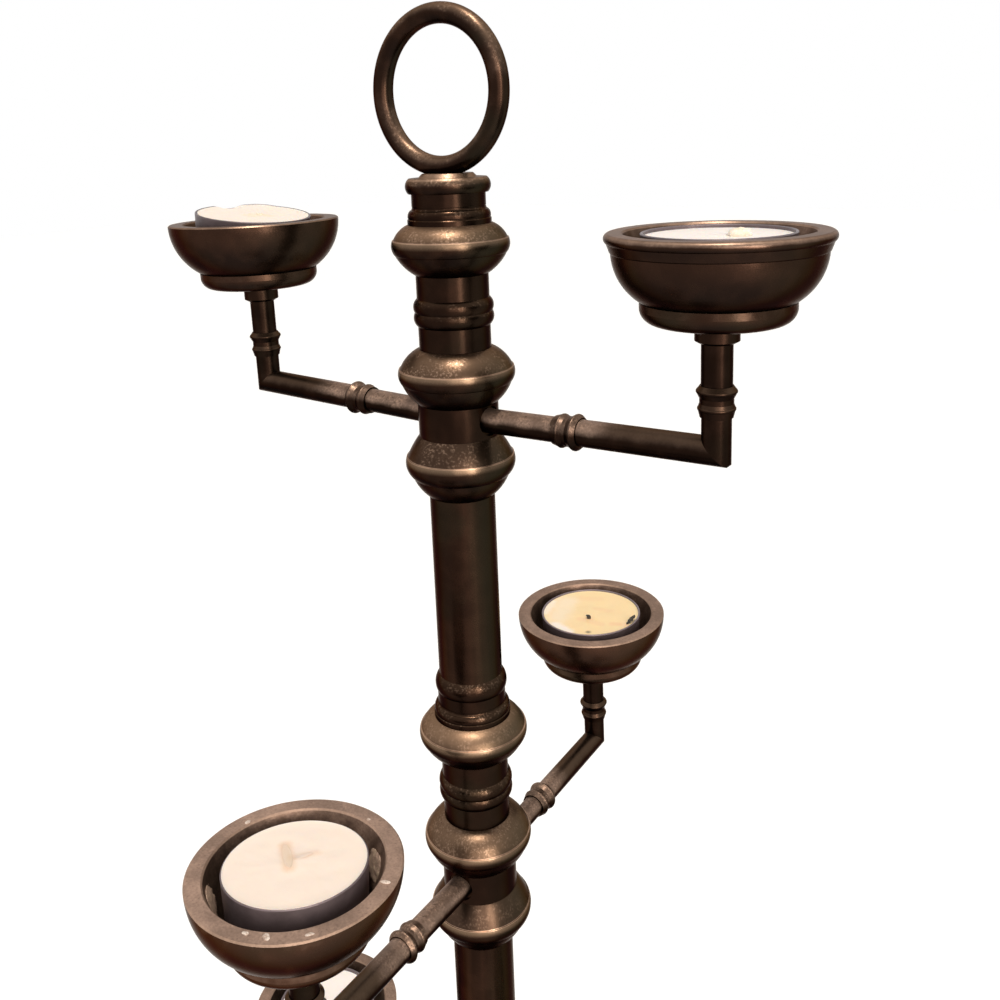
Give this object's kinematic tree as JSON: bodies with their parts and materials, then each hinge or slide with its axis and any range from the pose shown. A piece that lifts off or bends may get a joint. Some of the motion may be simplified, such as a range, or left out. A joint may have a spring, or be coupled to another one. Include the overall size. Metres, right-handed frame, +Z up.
{
  "type": "candelabra",
  "caption": "Tall tealight candelabra: a turned brass column on a round foot, with tiers of straight arms that swivel and end in bowl-shaped cups, and a ring finial on top.",
  "frame": {"origin": "floor level, on the column's axis, under the middle of the felt pad", "axes": "+Z up the column; the arms of the top and bottom tiers lie along X, and the ring finial stands in the XZ plane"},
  "size_m": [0.2231, 0.2196, 0.5616],
  "materials": {
    "antique_brass": "dark oil-rubbed brass, satin, worn brighter on edges and upper faces",
    "tealight_tin": "thin pressed sheet, satin",
    "wax": "cream paraffin wax, soft sheen",
    "steel_fixings": "plain zinc-plated steel",
    "felt": "dark felt"
  },
  "bodies": {
    "column": {"base": "antique_brass", "base_nut": "steel_fixings", "felt_pad": "felt", "finial_cap": "antique_brass", "finial_ring": "antique_brass", "lower_collar_1": "antique_brass", "lower_collar_2": "antique_brass", "lower_collar_3": "antique_brass", "neck_ring_1": "antique_brass", "neck_ring_2": "antique_brass", "neck_ring_3": "antique_brass", "pole_1": "antique_brass", "pole_2": "antique_brass", "pole_3": "antique_brass", "sleeve_1": "antique_brass", "sleeve_2": "antique_brass", "sleeve_3": "antique_brass", "support_collar_1": "antique_brass", "support_collar_2": "antique_brass", "support_collar_3": "antique_brass", "tie_rod": "steel_fixings", "upper_collar_1": "antique_brass", "upper_collar_2": "antique_brass", "upper_collar_3": "antique_brass"},
    "level_1": {"arm_1_left": "antique_brass", "arm_1_right": "antique_brass", "arm_rings_1": "antique_brass", "cup_1_left": "antique_brass", "cup_1_right": "antique_brass", "cup_screws_1": "steel_fixings", "cup_sockets_1": "antique_brass", "hub_1": "antique_brass"},
    "level_2": {"arm_2_back": "antique_brass", "arm_2_front": "antique_brass", "arm_rings_2": "antique_brass", "cup_2_back": "antique_brass", "cup_2_front": "antique_brass", "cup_screws_2": "steel_fixings", "cup_sockets_2": "antique_brass", "hub_2": "antique_brass"},
    "level_3": {"arm_3_left": "antique_brass", "arm_3_right": "antique_brass", "arm_rings_3": "antique_brass", "cup_3_left": "antique_brass", "cup_3_right": "antique_brass", "cup_screws_3": "steel_fixings", "cup_sockets_3": "antique_brass", "hub_3": "antique_brass"},
    "tealight_1_left": {"tealight_candle_1_left": "wax", "tealight_tin_1_left": "tealight_tin"},
    "tealight_1_right": {"tealight_candle_1_right": "wax", "tealight_tin_1_right": "tealight_tin"},
    "tealight_2_back": {"tealight_candle_2_back": "wax", "tealight_tin_2_back": "tealight_tin"},
    "tealight_2_front": {"tealight_candle_2_front": "wax", "tealight_tin_2_front": "tealight_tin"},
    "tealight_3_left": {"tealight_candle_3_left": "wax", "tealight_tin_3_left": "tealight_tin"},
    "tealight_3_right": {"tealight_candle_3_right": "wax", "tealight_tin_3_right": "tealight_tin"}
  },
  "joints": [
    {"name": "level_1_swivel", "type": "hinge", "parent": "column", "child": "level_1", "pos_m": [0, 0, 0.44255], "axis": [0, 0, 1], "continuous": true},
    {"name": "level_2_swivel", "type": "hinge", "parent": "column", "child": "level_2", "pos_m": [0, 0, 0.28655], "axis": [0, 0, 1], "continuous": true},
    {"name": "level_3_swivel", "type": "hinge", "parent": "column", "child": "level_3", "pos_m": [0, 0, 0.13055], "axis": [0, 0, 1], "continuous": true},
    {"name": "tealight_1_right_lift", "type": "slide", "parent": "level_1", "child": "tealight_1_right", "axis": [0, 0, 1], "range_m": [0, 0.03]},
    {"name": "tealight_1_left_lift", "type": "slide", "parent": "level_1", "child": "tealight_1_left", "axis": [0, 0, 1], "range_m": [0, 0.03]},
    {"name": "tealight_2_back_lift", "type": "slide", "parent": "level_2", "child": "tealight_2_back", "axis": [0, 0, 1], "range_m": [0, 0.03]},
    {"name": "tealight_2_front_lift", "type": "slide", "parent": "level_2", "child": "tealight_2_front", "axis": [0, 0, 1], "range_m": [0, 0.03]},
    {"name": "tealight_3_right_lift", "type": "slide", "parent": "level_3", "child": "tealight_3_right", "axis": [0, 0, 1], "range_m": [0, 0.03]},
    {"name": "tealight_3_left_lift", "type": "slide", "parent": "level_3", "child": "tealight_3_left", "axis": [0, 0, 1], "range_m": [0, 0.03]}
  ]
}
